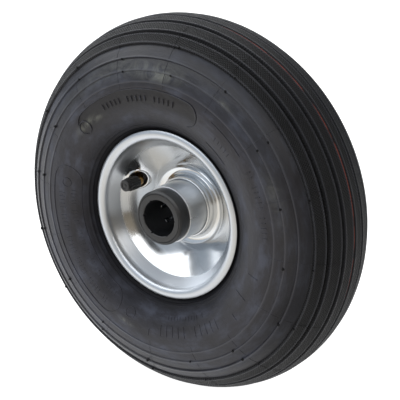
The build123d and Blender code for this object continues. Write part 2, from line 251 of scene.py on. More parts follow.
def plainFinish(name, settings, patch, colours, roughnesses, depth, stretch=None):
    material, add, place = startMaterial(name)
    if stretch:
        place = add("Mapping", {0: place, "Scale": stretch})
    pattern = add("TexNoise", {"Vector": place, "Scale": 1 / patch, "Detail": 4.0})
    colour = add("ValToRGB", {0: pattern, "stops": ((0.32, colours[0]), (0.68, colours[1]))})
    rough = add("MapRange", {0: pattern, "from": (0.3, 0.7), "to": roughnesses})
    fine = add("TexNoise", {"Vector": place, "Scale": 4 / patch, "Detail": 2.0})
    raised = add("Bump", {"Height": fine, "Distance": depth, "Strength": 0.6})
    endMaterial(add, {**settings, "Base Color": colour, "Roughness": rough, "Normal": raised})
    return material


# meshes

def addObject(name, data):
    made = bpy.data.objects.new(name, data)
    bpy.context.scene.collection.objects.link(made)
    return made


def solidMesh(name, vertices, faces, joined=()):
    # a closed mesh with its normals outward, and other meshes joined to it
    mesh = bpy.data.meshes.new(name)
    mesh.from_pydata([tuple(v) for v in vertices], [], faces)
    work = bmesh.new()
    for part in (mesh, *joined):
        work.from_mesh(part)
    bmesh.ops.recalc_face_normals(work, faces=work.faces)
    work.to_mesh(mesh)
    work.free()
    return mesh


def finishMesh(name, vertices, faces, *looks):
    piece = addObject(name, solidMesh(name, vertices, faces))
    dress(piece, *looks)
    return piece


def dress(piece, material, body, slot, replaced, sharpDegrees):
    mesh = piece.data
    mesh.materials.clear()
    mesh.materials.append(material)
    mesh.polygons.foreach_set("use_smooth", [True] * len(mesh.polygons))
    mesh.set_sharp_from_angle(angle=radians(sharpDegrees))
    mesh.update()
    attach(piece, body)
    if replaced:
        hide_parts(*replaced)


def rounded(corners, steps=5):
    # corners are (radius, offset, fillet) in mm; each fillet becomes a short arc
    path = []
    for index, (r, y, fillet) in enumerate(corners):
        here = Vector((r, y))
        if not fillet:
            path.append((r, y))
            continue
        before = (Vector(corners[index - 1][:2]) - here).normalized()
        after = (Vector(corners[(index + 1) % len(corners)][:2]) - here).normalized()
        half = before.angle(after) / 2
        reach = fillet / tan(half)
        middle = here + (before + after).normalized() * (fillet / sin(half))
        start = here + before * reach - middle
        turn = start.angle_signed(here + after * reach - middle)
        for step in range(steps + 1):
            path.append(tuple(middle + Matrix.Rotation(-turn * step / steps, 2) @ start))
    return path


def turns(sides):
    return [2 * pi * side / sides for side in range(sides)]


def aroundAxle(angle, r, y):
    return Vector((r * cos(angle), y, r * sin(angle))) * mm


def turnedFaces(ringLength, sides):
    faces = []
    for side in range(sides):
        here, following = side * ringLength, (side + 1) % sides * ringLength
        for place in range(ringLength):
            after = (place + 1) % ringLength
            faces.append((here + place, here + after, following + after, following + place))
    return faces


def ringFaces(rings, sides):
    # walls between rings of points, and a flat cap on each end
    faces = [(a + side, a + (side + 1) % sides, a + sides + (side + 1) % sides, a + sides + side)
             for a in range(0, (rings - 1) * sides, sides) for side in range(sides)]
    return faces + [tuple(range(sides)), tuple(range((rings - 1) * sides, rings * sides))]


def turned(profile, sides, move=None):
    # a closed outline of (radius, offset) in mm, turned about the axle; move may shift a point at an angle
    vertices = []
    for angle in turns(sides):
        for r, y in profile:
            r, y = move(angle, r, y) if move else (r, y)
            vertices.append((r * mm * cos(angle), y * mm, r * mm * sin(angle)))
    return vertices, turnedFaces(len(profile), sides)


# Geometry Nodes trees

def startTree(name, sockets):
    tree = bpy.data.node_groups.new(name, "GeometryNodeTree")
    for label, kind in (("Geometry", "Geometry"), *sockets, ("Material", "Material")):
        tree.interface.new_socket(label, in_out="INPUT", socket_type="NodeSocket" + kind)
    tree.interface.new_socket("Geometry", in_out="OUTPUT", socket_type="NodeSocketGeometry")
    add = partial(addNode, tree)
    return tree, add, add("NodeGroupInput").outputs


def endTree(add, given, geometry):
    real = add("GeometryNodeRealizeInstances", {"Geometry": geometry})
    coated = add("GeometryNodeSetMaterial", {"Geometry": real, "Material": given["Material"]})
    add("NodeGroupOutput", {"Geometry": coated})


# lines drawn on a surface become round beads of rubber, half sunk in it
def beadTree():
    tree, add, given = startTree("beadOnLines", [("Bead Radius", "Float")])
    lines = add("GeometryNodeMeshToCurve", {"Mesh": given["Geometry"]})
    circle = add("GeometryNodeCurvePrimitiveCircle", {"Resolution": 8, "Radius": given["Bead Radius"]})
    tube = add("GeometryNodeCurveToMesh", {"Fill Caps": True, "Curve": lines, "Profile Curve": circle})
    endTree(add, given, tube)
    return tree


# copies of the given mesh, set round the axle at equal steps
def roundTree():
    tree, add, given = startTree(
        "copiesRoundAxle", [("Count", "Int"), ("First Angle", "Float"), ("Step Angle", "Float")])
    points = add("GeometryNodePoints", {"Count": given["Count"]})
    step = add("Math MULTIPLY", {0: add("GeometryNodeInputIndex"), 1: given["Step Angle"]})
    angle = add("Math ADD", {0: step, 1: given["First Angle"]})
    # a turn from +X towards +Z is a negative turn about +Y
    turn = add("CombineXYZ", {"Y": add("Math MULTIPLY", {0: angle, 1: -1.0})})
    copies = add("GeometryNodeInstanceOnPoints", {
        "Points": points, "Instance": given["Geometry"], "Rotation": turn})
    endTree(add, given, copies)
    return tree


# small nubs stand on the given points, along each point's own direction
def nubTree():
    tree, add, given = startTree(
        "nubsOnPoints", [("Nub Radius", "Float"), ("Nub Height", "Float"), ("Seed", "Int")])
    points = add("GeometryNodeMeshToPoints", {"Mesh": given["Geometry"]})
    away = add("GeometryNodeInputNamedAttribute", {"data_type": "FLOAT_VECTOR", "Name": "outwards"})
    turn = add("FunctionNodeAlignRotationToVector", {"Vector": away, "axis": "Z"})
    narrow = add("Math MULTIPLY", {0: given["Nub Radius"], 1: 0.7})
    nub = add("GeometryNodeMeshCone", {"Vertices": 10, "fill_type": "TRIANGLE_FAN", "Radius Top": narrow,
                                       "Radius Bottom": given["Nub Radius"], "Depth": given["Nub Height"]})
    size = add("FunctionNodeRandomValue", {"data_type": "FLOAT", 2: 0.7, 3: 1.2, "Seed": given["Seed"]})
    copies = add("GeometryNodeInstanceOnPoints", {
        "Points": points, "Instance": nub.outputs["Mesh"], "Rotation": turn, "Scale": size.outputs[1]})
    endTree(add, given, copies)
    return tree


def runTree(name, mesh, tree, values):
    # runs a tree on a mesh and keeps the result as a plain mesh
    seed = addObject(name + "Seed", mesh)
    modifier = seed.modifiers.new("tree", "NODES")
    modifier.node_group = tree
    for socket in tree.interface.items_tree:
        if socket.in_out == "INPUT" and socket.name in values:
            modifier[socket.identifier] = values[socket.name]
    made = bpy.data.meshes.new_from_object(seed.evaluated_get(bpy.context.evaluated_depsgraph_get()))
    seed.modifiers.clear()
    bpy.data.objects.remove(seed)
    made.name = name
    return addObject(name, made)


def lineMesh(name, lines):
    vertices, edges = [], []
    for line, closed in lines:
        start = len(vertices)
        vertices += [tuple(p) for p in line]
        edges += [(start + i, start + i + 1) for i in range(len(line) - 1)]
        if closed:
            edges.append((start + len(line) - 1, start))
    mesh = bpy.data.meshes.new(name)
    mesh.from_pydata(vertices, edges, [])
    return mesh


# Tyre: places on the wall are given as an arc length from the middle of the tread, negative at the front

tyre = {
    "sides": 350,
    "crownHeight": 43.0,       # from the widest place out to the tread
    "footGap": 1.0,            # from the lip's edge out to the foot of the wall
    "lipOffset": 30.9,
    "footInset": 0.85,
    "skinInset": 0.35,         # leaves room for beads and nubs inside the tyre's box
    "wall": 4.0,
    "treadWall": 7.0,
    "innerReach": 33.0,        # from the widest place in to the inner wall by the bead
    "innerTurn": 118,          # degrees from the crown to the inner wall's ends
    "coarseRows": 2.2, "fineRows": 1.5, "fineFrom": 60,
    "panelsFrom": 61,          # arc
    "scuffsFrom": 40,
    "grooves": ((4.5, 1.0, 1.6), (14.3, 1.3, 2.2), (25.3, 1.3, 2.0)),    # arc, half width, depth
    "laps": ((34.5, 1.3), (44.8, 0.8), (53.5, 0.5), (61.0, 0.35)),       # arc, step height
    "ridge": (0.4, 0.5),       # height and half width, beside each edge
    "lapRidge": 0.3,           # of the lap's step
    "beadRings": ((91.6, 0.9, 0.45), (94.4, 0.5, 0.35)),                 # arc, half width, height
    # radius and offset of the bead, from under the lip to the inner wall
    "beadOutline": ((58.2, 29.2), (55.3, 30.0), (53.3, 28.7), (48.3, 21.8), (47.9, 18.2), (56.4, 19.6),
                    (62, 27.2)),
}
tyreRadius = tyreBox[1].z / mm
halfWidth = tyreBox[1].y / mm
bellyRadius = tyreRadius - tyre["crownHeight"]
footRadius = rimBox[1].z / mm + tyre["footGap"]
footOffset = tyre["lipOffset"] - tyre["footInset"]
lowerReach = (bellyRadius - footRadius) / sqrt(1 - (footOffset / halfWidth) ** 2)
footAngle = pi - acos((bellyRadius - footRadius) / lowerReach)


def casingPoint(angle):
    # angle from the crown; the wall is one ellipse outside the belly and another inside it
    reach = tyre["crownHeight"] if abs(angle) < pi / 2 else lowerReach
    return bellyRadius + reach * cos(angle), halfWidth * sin(angle)


casingAngles = np.linspace(0, footAngle, 4001)
casingPoints = np.array([casingPoint(a) for a in casingAngles])
casingArc = np.concatenate([[0], np.cumsum(np.hypot(*np.diff(casingPoints, axis=0).T))])
wallArc = casingArc[-1]


def casing(arc, lift=0.0):
    # radius, offset and outward direction in mm at an arc length, lifted off the skin
    angle = float(np.interp(min(abs(arc), wallArc), casingArc, casingAngles))
    reach = tyre["crownHeight"] if angle < pi / 2 else lowerReach
    r, y = casingPoint(angle)
    normal = Vector((cos(angle) / reach, sin(angle) / halfWidth)).normalized()
    side = -1 if arc < 0 else 1
    out = Vector((normal.x, side * normal.y))
    lifted = lift - tyre["skinInset"]
    return r + out.x * lifted, side * y + out.y * lifted, out


def arcAtRadius(radius):
    # arc length at which the wall passes a radius, from the widest place inwards or outwards
    return float(np.interp(-radius, -casingPoints[:, 0], casingArc))


def onWall(angle, arc, lift=0.0):
    r, y, out = casing(arc, lift)
    return aroundAxle(angle, r, y)


def relief(arc):
    # height of the moulded relief over the plain skin at an arc length
    size = abs(arc)
    height = 0.0
    rise, ridgeHalf = tyre["ridge"]
    for place, half, depth in tyre["grooves"]:
        distance = abs(size - place) / half
        if distance < 1:
            height -= depth * cos(distance * pi / 2) ** 0.6
        height += rise * exp(-((abs(size - place) - half - ridgeHalf) / ridgeHalf) ** 2)
    laps = tyre["laps"]
    for (place, step), following in zip(laps, [lap[0] for lap in laps[1:]] + [laps[-1][0] + 9]):
        if place < size < following:
            height -= step * (1 - (size - place) / (following - place)) ** 1.6
        elif size <= place:
            height += tyre["lapRidge"] * step * exp(-((place - size - ridgeHalf) / ridgeHalf) ** 2)
    for place, half, rise in tyre["beadRings"]:
        distance = abs(size - place) / half
        if distance < 1:
            height += rise * cos(distance * pi / 2)
    return height


def wornCrestHighlightAt(arc):
    # 1 on the crest beside a groove or lap, 0 away from it: smoother rubber there, and a paler painted highlight
    half = tyre["ridge"][1]
    crests = [place + k * (gap + half) for place, gap, depth in tyre["grooves"] for k in (-1, 1)]
    crests += [place - half for place, step in tyre["laps"]]
    return min(1.0, sum(exp(-((abs(arc) - crest) / half) ** 2) for crest in crests))


def wallArcs():
    # arc lengths of the mesh rows: close together at grooves, laps and rings
    fine = tyre["fineFrom"]
    places = {float(round(arc, 3)) for arc in (*np.arange(0, fine, tyre["coarseRows"]),
                                               *np.arange(fine, wallArc, tyre["fineRows"]))}
    bands = [(place, half + 1.6, [half * k for k in (-1, -0.8, -0.4, 0, 0.4, 0.8, 1)]
              + [k * (half + reach) for k in (-1, 1) for reach in (0.25, 0.5, 0.8, 1.5)])
             for place, half, depth in tyre["grooves"]]
    bands += [(place, 1.9, (-1.7, -1.0, -0.75, -0.5, -0.2, 0.0, 0.25, 0.9, 1.8))
              for place, step in tyre["laps"]]
    bands += [(place, half + 0.3, [half * k for k in (-1, -0.5, 0, 0.5, 1)])
              for place, half, rise in tyre["beadRings"]]
    for place, clear, steps in bands:
        places = {p for p in places if abs(p - place) > clear} | {round(place + step, 3) for step in steps}
    return sorted(places | {wallArc})


# plain panels stand where a tyre carries its marks; each is sunk a little and edged by a bead
panels = (
    {"from": 66, "to": 141, "inner": 70.5, "outer": 88.0, "depth": 0.5, "closed": False},
    {"from": 163, "to": 245, "inner": 67.5, "outer": 88.0, "depth": 0.0, "closed": True},
)


panelEdge = 1.4                # mm over which the sinking sets in


def panelShape(panel):
    # half the width, the middle radius, and the angles where the round ends start
    half, middle = (panel["outer"] - panel["inner"]) / 2, (panel["outer"] + panel["inner"]) / 2
    inset = degrees(half / middle)
    return half, middle, panel["from"] + inset, panel["to"] - inset


def panelDepth(place, radius):
    depth = 0.0
    for panel in panels:
        half, middle, first, last = panelShape(panel)
        away = hypot(radians(place - min(max(place, first), last)) * middle, radius - middle)
        # it runs out smoothly towards the bead
        fade = min(max((radius - panel["inner"]) / half, 0), 1)
        depth += panel["depth"] * min(max((half - away) / panelEdge + 0.5, 0), 1) * fade
    return depth


# pale scuffs on the front wall: angle, radius, length round the wall, width and strength
scuffMarks = (
    (137, 80.5, 15, 4.5, 0.9), (128, 78.0, 8, 2.5, 0.8), (88, 98.5, 24, 9.0, 0.5), (106, 101, 95, 11, 0.3),
    (60, 101.0, 14, 3.0, 0.5), (251, 84, 12, 3.0, 0.5), (20, 98, 40, 8, 0.2),
)


def scuffAt(place, radius):
    strength = 0.0
    for angle, distance, length, width, pale in scuffMarks:
        along = radians((place - angle + 180) % 360 - 180) * distance / length * 2
        across = (radius - distance) / width * 2
        strength += pale * exp(-along * along - across * across)
    return min(strength, 1.0)


def makeTyre(material):
    half, sides = wallArcs(), tyre["sides"]
    rows = [(arc, relief(arc), wornCrestHighlightAt(arc), casing(arc)[0])
            for arc in [-a for a in reversed(half[1:])] + half]
    inner = []
    for step in range(13):
        angle = -radians(tyre["innerTurn"]) + radians(2 * tyre["innerTurn"]) * step / 12
        reach = tyre["crownHeight"] - tyre["treadWall"] if abs(angle) < pi / 2 else tyre["innerReach"]
        inner.append((bellyRadius + reach * cos(angle), (halfWidth - tyre["wall"]) * sin(angle)))
    bead = tyre["beadOutline"]
    closing = list(bead) + inner[::-1] + [(r, -y) for r, y in reversed(bead)]
    vertices, painted = [], {"sunk": [], "scuff": [], "edge": []}
    for side in range(sides):
        front = 360 * side / sides
        rear, angle = (front + 180) % 360, radians(front)
        for arc, height, wornAndHighlit, radius in rows:
            sunk = panelDepth(front if arc < 0 else rear, radius) if abs(arc) > tyre["panelsFrom"] else 0.0
            vertices.append(onWall(angle, arc, height - sunk))
            painted["sunk"].append(min(1.0, 2 * sunk))
            painted["scuff"].append(scuffAt(front, radius) if arc < -tyre["scuffsFrom"] else 0.0)
            # the crest mask: smoother rubber, and a painted highlight along the crests
            painted["edge"].append(wornAndHighlit)
        vertices += [aroundAxle(angle, r, y) for r, y in closing]
        for values in painted.values():
            values += [0.0] * len(closing)
    faces = turnedFaces(len(rows) + len(closing), sides)
    piece = finishMesh("tyreCasing", vertices, faces, material, "wheel", "tyre_rubber", ("tyre",), 50)
    for label, values in painted.items():
        piece.data.attributes.new(label, "FLOAT", "POINT").data.foreach_set("value", values)
    print("tyre casing:", len(faces), "faces")


marks = {
    "beadRadius": 0.3, "barRadius": 0.27,
    "edgeSteps": 1.5,          # degrees between the points of a line
    "mouldLines": 16,
    "firstMouldLine": 18.5,    # degrees
    "mouldLineBead": 0.25, "mouldLineArcs": (16.5, 66, 1.5), "mouldLineSink": 0.08,
    # angle, radius and size of circles; first and last angle and radius of arcs; angle and radii of ticks
    "circles": ((138.0, 79.0, 4.6), (172.0, 78.0, 3.2), (252.0, 76.0, 3.8)),
    "arcs": ((40, 59, 86.5), (42, 57, 70.5)),
    "ticks": ((265, 80.0, 85.0), (320, 80.0, 85.0), (331, 72.0, 82.0), (344, 76.0, 84.0)),
}


def panelOutline(side, panel):
    half, middle, first, last = panelShape(panel)
    steps = int((last - first) / marks["edgeSteps"])
    outer = [(first + (last - first) * step / steps, middle + half) for step in range(steps + 1)]
    inner = [(last - (last - first) * step / steps, middle - half) for step in range(steps + 1)]
    ends = []
    for end, start in ((last, pi / 2), (first, -pi / 2)):
        spots = [start - pi * step / 10 for step in range(1, 10)]
        ends.append([(end + degrees(half * cos(t) / middle), middle + half * sin(t)) for t in spots])
    # an open panel has no edge towards the bead
    spots = ends[1] + outer + (ends[0] + inner if panel["closed"] else ends[0][:4])
    return [onSide(side, a, r) for a, r in spots]


def onSide(side, place, radius):
    # side -1 is the front; the rear is the front turned half a turn
    return onWall(radians(place if side < 0 else 180 + place), side * arcAtRadius(radius))


def radialLine(side, place, inner, outer):
    return [onSide(side, place, inner + (outer - inner) * step / 4) for step in range(5)]


def arcLine(side, first, last, radius):
    steps = max(2, int(abs(last - first) / marks["edgeSteps"]))
    return [onSide(side, first + (last - first) * step / steps, radius) for step in range(steps + 1)]


def circleLine(side, place, radius, size):
    return [onSide(side, place + degrees(size * cos(turn) / radius), radius + size * sin(turn))
            for turn in turns(20)]


def sideLines(side):
    # plain outlines, ticks and arcs, where a tyre carries its marks
    lines = [(panelOutline(side, panel), panel["closed"]) for panel in panels]
    lines += [(circleLine(side, *circle), True) for circle in marks["circles"]]
    lines += [(arcLine(side, *arc), False) for arc in marks["arcs"]]
    return lines + [(radialLine(side, *tick), False) for tick in marks["ticks"]]


def sideBars(side):
    return [(radialLine(side, first + gap * index, inner, outer), False)
            for first, last, inner, outer, gap in barRows
            for index in range(int((last - first) / gap) + 1) if index % 6 != 5]


# rows of bars: first and last angle, inner and outer radius, degrees from bar to bar
barRows = (
    (178, 238, 79.5, 83.5, 1.9),
    (176, 240, 71.0, 74.5, 1.9),
    (80, 124, 79.5, 83.5, 2.6),
    (272, 314, 75.0, 82.5, 3.6),
    (276, 300, 68.5, 71.0, 2.0),
    (4, 34, 84.0, 88.0, 2.2),
    (44, 56, 77.0, 80.0, 2.4),
)


def makeMarks(material, beads, rounds):
    made = []

    def beaded(name, lines, radius):
        return runTree(name, lineMesh(name, lines), beads, {
            "Bead Radius": marks[radius] * mm, "Material": material})

    for side, end in ((-1, "Front"), (1, "Rear")):
        made.append(beaded("wallMarks" + end, sideLines(side), "beadRadius"))
        made.append(beaded("wallBars" + end, sideBars(side), "barRadius"))
    arcs, sink = np.arange(*marks["mouldLineArcs"]), marks["mouldLineSink"]
    single = beaded("mouldLine", [([onWall(0, side * arc, relief(arc) - sink) for arc in arcs], False)
                                  for side in (1, -1)], "mouldLineBead")
    base = single.data
    bpy.data.objects.remove(single)
    made.append(runTree("mouldLines", base, rounds, {
        "Count": marks["mouldLines"], "First Angle": radians(marks["firstMouldLine"]),
        "Step Angle": 2 * pi / marks["mouldLines"], "Material": material}))
    for piece in made:
        dress(piece, material, "wheel", "tyre_rubber", (), 60)


nubs = {
    "radius": 1.0, "height": 0.95, "sink": 0.3, "arcs": (14.3, 25.3, 34.5, 44.8, 53.5), "seed": 5,
    "beside": (0.9, 0.5),      # degrees from the mould line, and how much more for each arc
}


def makeNubs(material, tree):
    vertices, outwards, step = [], [], 360 / marks["mouldLines"]
    near, more = nubs["beside"]
    for index in range(marks["mouldLines"]):
        for order, arc in enumerate(nubs["arcs"]):
            for side in (-1, 1) if (index + order) % 3 else ():
                place = marks["firstMouldLine"] + step * index + side * (near + more * order)
                angle, out = radians(place), casing(side * arc)[2]
                vertices.append(tuple(onWall(angle, side * arc, relief(arc) - nubs["sink"])))
                outwards += [out.x * cos(angle), out.y, out.x * sin(angle)]
    mesh = bpy.data.meshes.new("ventNubs")
    mesh.from_pydata(vertices, [], [])
    mesh.attributes.new("outwards", "FLOAT_VECTOR", "POINT").data.foreach_set("vector", outwards)
    piece = runTree("ventNubs", mesh, tree, {
        "Nub Radius": nubs["radius"] * mm, "Nub Height": nubs["height"] * mm, "Seed": nubs["seed"],
        "Material": material})
    dress(piece, material, "wheel", "tyre_rubber", (), 30)


# Rim halves

rim = {
    "sides": 384, "sheet": 1.5, "collarReach": 9.5, "collarFillet": 3.3, "ringWidth": 5.6,
    "coneFillet": 6.0, "wallDepth": 7.6, "wallDrop": 5.6, "creaseFillet": 0.7, "lipWidth": 6.7,
    "lipInset": 2.1, "lipOffset": tyre["lipOffset"], "lipCrownDrop": 3.0, "lipCrownRise": 0.9,
}


def arcThrough(first, middle, last, steps):
    # points of the circle through three points, without the first
    (ax, ay), (bx, by), (cx, cy) = first, middle, last
    d = 2 * (ax * (by - cy) + bx * (cy - ay) + cx * (ay - by))
    aa, bb, cc = ax * ax + ay * ay, bx * bx + by * by, cx * cx + cy * cy
    ux = (aa * (by - cy) + bb * (cy - ay) + cc * (ay - by)) / d
    uy = (aa * (cx - bx) + bb * (ax - cx) + cc * (bx - ax)) / d
    size = hypot(ax - ux, ay - uy)
    start = atan2(ay - uy, ax - ux)
    half = (atan2(by - uy, bx - ux) - start + pi) % (2 * pi) - pi
    rest = (atan2(cy - uy, cx - ux) - start - half + pi) % (2 * pi) - pi
    return [(ux + size * cos(start + (half + rest) * s / steps),
             uy + size * sin(start + (half + rest) * s / steps)) for s in range(1, steps + 1)]


tubeRadius = tubeBox[1].z / mm
lipRadius = rimBox[1].z / mm
lipInner = (lipRadius - rim["lipWidth"], rim["lipOffset"] - rim["lipInset"])
crease = (lipInner[0] - rim["wallDrop"], lipInner[1] - rim["wallDepth"])
coneFoot = tubeRadius + rim["sheet"] + rim["ringWidth"]
coneAngle = atan2(crease[1] - rim["sheet"], crease[0] - coneFoot)


def subdivided(path, longest):
    # long straight stretches get points of their own, so that the shading stays even
    result = [path[0]]
    for (ax, ay), (bx, by) in zip(path, path[1:]):
        count = max(1, ceil(hypot(bx - ax, by - ay) / longest))
        result += [(ax + (bx - ax) * k / count, ay + (by - ay) * k / count) for k in range(1, count + 1)]
    return result


def rimLine():
    # visible face from the collar's end to the lip's edge, with y towards the outside
    collar = tubeRadius + rim["sheet"]
    dish = rounded([
        (collar, rim["collarReach"], 0), (collar, rim["sheet"], rim["collarFillet"]),
        (coneFoot, rim["sheet"], rim["coneFillet"]), (*crease, rim["creaseFillet"]), (*lipInner, 0)], 9)
    lip = arcThrough(lipInner, (lipRadius - rim["lipCrownDrop"], rim["lipOffset"] + rim["lipCrownRise"]),
                     (lipRadius, rim["lipOffset"]), 14)
    return subdivided(dish, 2.0) + lip


def offsetLine(path, distance):
    moved = []
    for index, (x, y) in enumerate(path):
        before = Vector(path[max(index - 1, 0)])
        after = Vector(path[min(index + 1, len(path) - 1)])
        along = (after - before).normalized()
        moved.append((x + along.y * distance, y - along.x * distance))
    return moved


def roundEnd(first, last, outwards, steps=6):
    # half circle from one face of the sheet to the other, round its edge
    a, b = Vector(first), Vector(last)
    middle, size = (a + b) / 2, (a - b).length / 2
    across, out = (a - b).normalized(), Vector(outwards).normalized()
    angles = [pi * k / steps for k in range(1, steps)]
    return [tuple(middle + across * (size * cos(t)) + out * (size * sin(t))) for t in angles]


def makeRim(side, material):
    face = rimLine()
    under = offsetLine(face, rim["sheet"])
    lipWay = Vector(face[-1]) - Vector(face[-2])
    lipEnd = [p for p in roundEnd(face[-1], under[-1], lipWay) if p[0] < lipRadius - 0.02]
    outline = face + lipEnd + under[::-1] + roundEnd(under[0], face[0], (0, 1))
    name, node = ("rimHalfFront", "rim_front") if side < 0 else ("rimHalfRear", "rim_rear")
    vertices, faces = turned([(r, side * y) for r, y in outline], rim["sides"])
    piece = finishMesh(name, vertices, faces, material, "wheel", "zinc_plated_steel", (node,), 45)
    if side < 0:
        drillValveHole(piece)


# Valve hole, with the raised collar that is pressed up round it

valve = {
    "angle": 158.0,
    "drop": 7.4,               # hole centre below the crease
    "holeRadius": 6.2,
    "holeClear": 0.7,          # the drilled hole is this much wider, under the collar
    "collarRadius": 7.7, "collarHeight": 1.1, "collarFoot": 9.6,
    "cornerHeight": 2.75,      # of the stem's bend over the dish
    "bendRadius": 5.0, "stemRadius": 3.6,
    "stemStart": -3.3,         # under the visible face
    "legLength": 12.8, "threadStart": 2.9, "threadPitch": 0.8, "threadDepth": 0.34, "boreRadius": 2.5,
    "boreDepth": 12.0, "capStart": 2.4, "capLength": 12.3, "capBore": 3.7, "capBoreDepth": 11.0,
    "capRadius": 4.36, "capTip": 4.1, "ribCount": 16, "ribRadius": 0.38, "ribEnd": 9.0,
}
valveTurn = radians(valve["angle"])
valveOut = Vector((cos(valveTurn), 0, sin(valveTurn)))
holeRadiusPlace = crease[0] - valve["drop"]
holeOffset = rim["sheet"] + (holeRadiusPlace - coneFoot) * tan(coneAngle)
holeCentre = valveOut * holeRadiusPlace + Vector((0, -holeOffset, 0))
holeNormal = valveOut * -sin(coneAngle) + Vector((0, -cos(coneAngle), 0))
holeUp = valveOut * cos(coneAngle) + Vector((0, -sin(coneAngle), 0))
holeSide = holeNormal.cross(holeUp)
legWay = Vector(joints["cap_lift"]["axis"]).normalized()
bendCorner = holeCentre + holeNormal * valve["cornerHeight"]


def toCone(point):
    # drops a point in mm along the hole's axis onto the visible cone
    for _ in range(6):
        radius = hypot(point.x, point.z)
        offset = -(rim["sheet"] + (radius - coneFoot) * tan(coneAngle))
        point = point - holeNormal * ((point.y - offset) / holeNormal.y)
    return point


def drillValveHole(piece):
    sides, size = 64, valve["holeRadius"] + valve["holeClear"]
    vertices = [(holeCentre + holeNormal * height + holeUp * (size * cos(turn))
                 + holeSide * (size * sin(turn))) * mm for height in (-4.0, 3.0) for turn in turns(sides)]
    cutter = addObject("holeCutter", solidMesh("holeCutter", vertices, ringFaces(2, sides)))
    cut = piece.modifiers.new("hole", "BOOLEAN")
    cut.operation, cut.solver, cut.object = "DIFFERENCE", "EXACT", cutter
    drilled = bpy.data.meshes.new_from_object(piece.evaluated_get(bpy.context.evaluated_depsgraph_get()))
    piece.modifiers.clear()
    bpy.data.objects.remove(cutter)
    piece.data = drilled
    drilled.set_sharp_from_angle(angle=radians(45))


def makeValveCollar(material):
    # distance from the hole's axis and height over the dish, round the raised edge and back underneath
    foot, top = valve["collarFoot"], valve["collarHeight"]
    outer, inner = valve["collarRadius"], valve["holeRadius"]
    outline = [(foot, 0.0), (foot - 0.5, 0.03), (outer + 0.8, 0.16), (outer + 0.35, 0.42), (outer, 0.8),
               (outer - 0.25, 1.0), (outer - 0.6, top), (inner + 0.55, top), (inner + 0.2, top - 0.12),
               (inner, top - 0.45), (inner, -1.3), (inner + 0.15, -1.5), (foot, -0.7), (foot, -0.3)]
    sides, vertices = 96, []
    for turn in turns(sides):
        way = holeUp * cos(turn) + holeSide * sin(turn)
        for reach, height in outline:
            vertices.append((toCone(holeCentre + way * reach) + holeNormal * height) * mm)
    finishMesh("valveHoleCollar", vertices, turnedFaces(len(outline), sides), material, "wheel",
               "zinc_plated_steel", (), 40)


def legFrame():
    # turns the local -Y of a lathe piece to the leg's direction, with its origin at the bend's corner
    y = -legWay
    x = y.cross(Vector((0, 0, 1))).normalized()
    return Matrix.Translation(bendCorner * mm) @ Matrix((x, y, x.cross(y))).transposed().to_4x4()


def makeStem(material):
    bend, full, bore = holeNormal.angle(legWay), valve["stemRadius"], valve["boreRadius"]
    reach = valve["bendRadius"] * tan(bend / 2)
    sideways = holeNormal.cross(legWay).normalized()
    centre = -holeNormal * reach + sideways.cross(holeNormal) * valve["bendRadius"]
    # rings of the stem: middle, direction, place on the thread and radius
    rings = [(holeNormal * (valve["stemStart"] - valve["cornerHeight"]), holeNormal, None, full)]
    for step in range(13):
        turn = Matrix.Rotation(bend * step / 12, 3, sideways)
        spot = centre - turn @ (sideways.cross(holeNormal)) * valve["bendRadius"]
        rings.append((spot, turn @ holeNormal, None, full))
    thread, length = valve["threadStart"], valve["legLength"]
    place = reach + 0.2
    while place < length - 0.6:
        rings.append((legWay * place, legWay, place if place > thread else None, full))
        place += valve["threadPitch"] / 8
    tip, core = legWay * length, full - valve["threadDepth"]
    ends = ((0.55, core), (0.15, core - 0.05), (0, core - 0.2), (0, bore + 0.15), (0.2, bore),
            (valve["boreDepth"] / 2, bore), (valve["boreDepth"], bore), (valve["boreDepth"], 0.8))
    rings += [(tip - legWay * back, legWay, None, radius) for back, radius in ends]
    vertices, sides = [], 40
    for spot, way, threadPlace, radius in rings:
        upwards = way.cross(sideways)
        for side, turn in enumerate(turns(sides)):
            size = radius
            if threadPlace is not None:
                phase = (threadPlace / valve["threadPitch"] - side / sides) % 1
                size -= valve["threadDepth"] * min(1, (threadPlace - thread) / 0.6) * abs(2 * phase - 1)
            vertices.append((bendCorner + spot + sideways * (size * cos(turn))
                             + upwards * (size * sin(turn))) * mm)
    finishMesh("valveStemThreaded", vertices, ringFaces(len(rings), sides), material, "wheel", "brass",
               ("valve_stem",), 35)


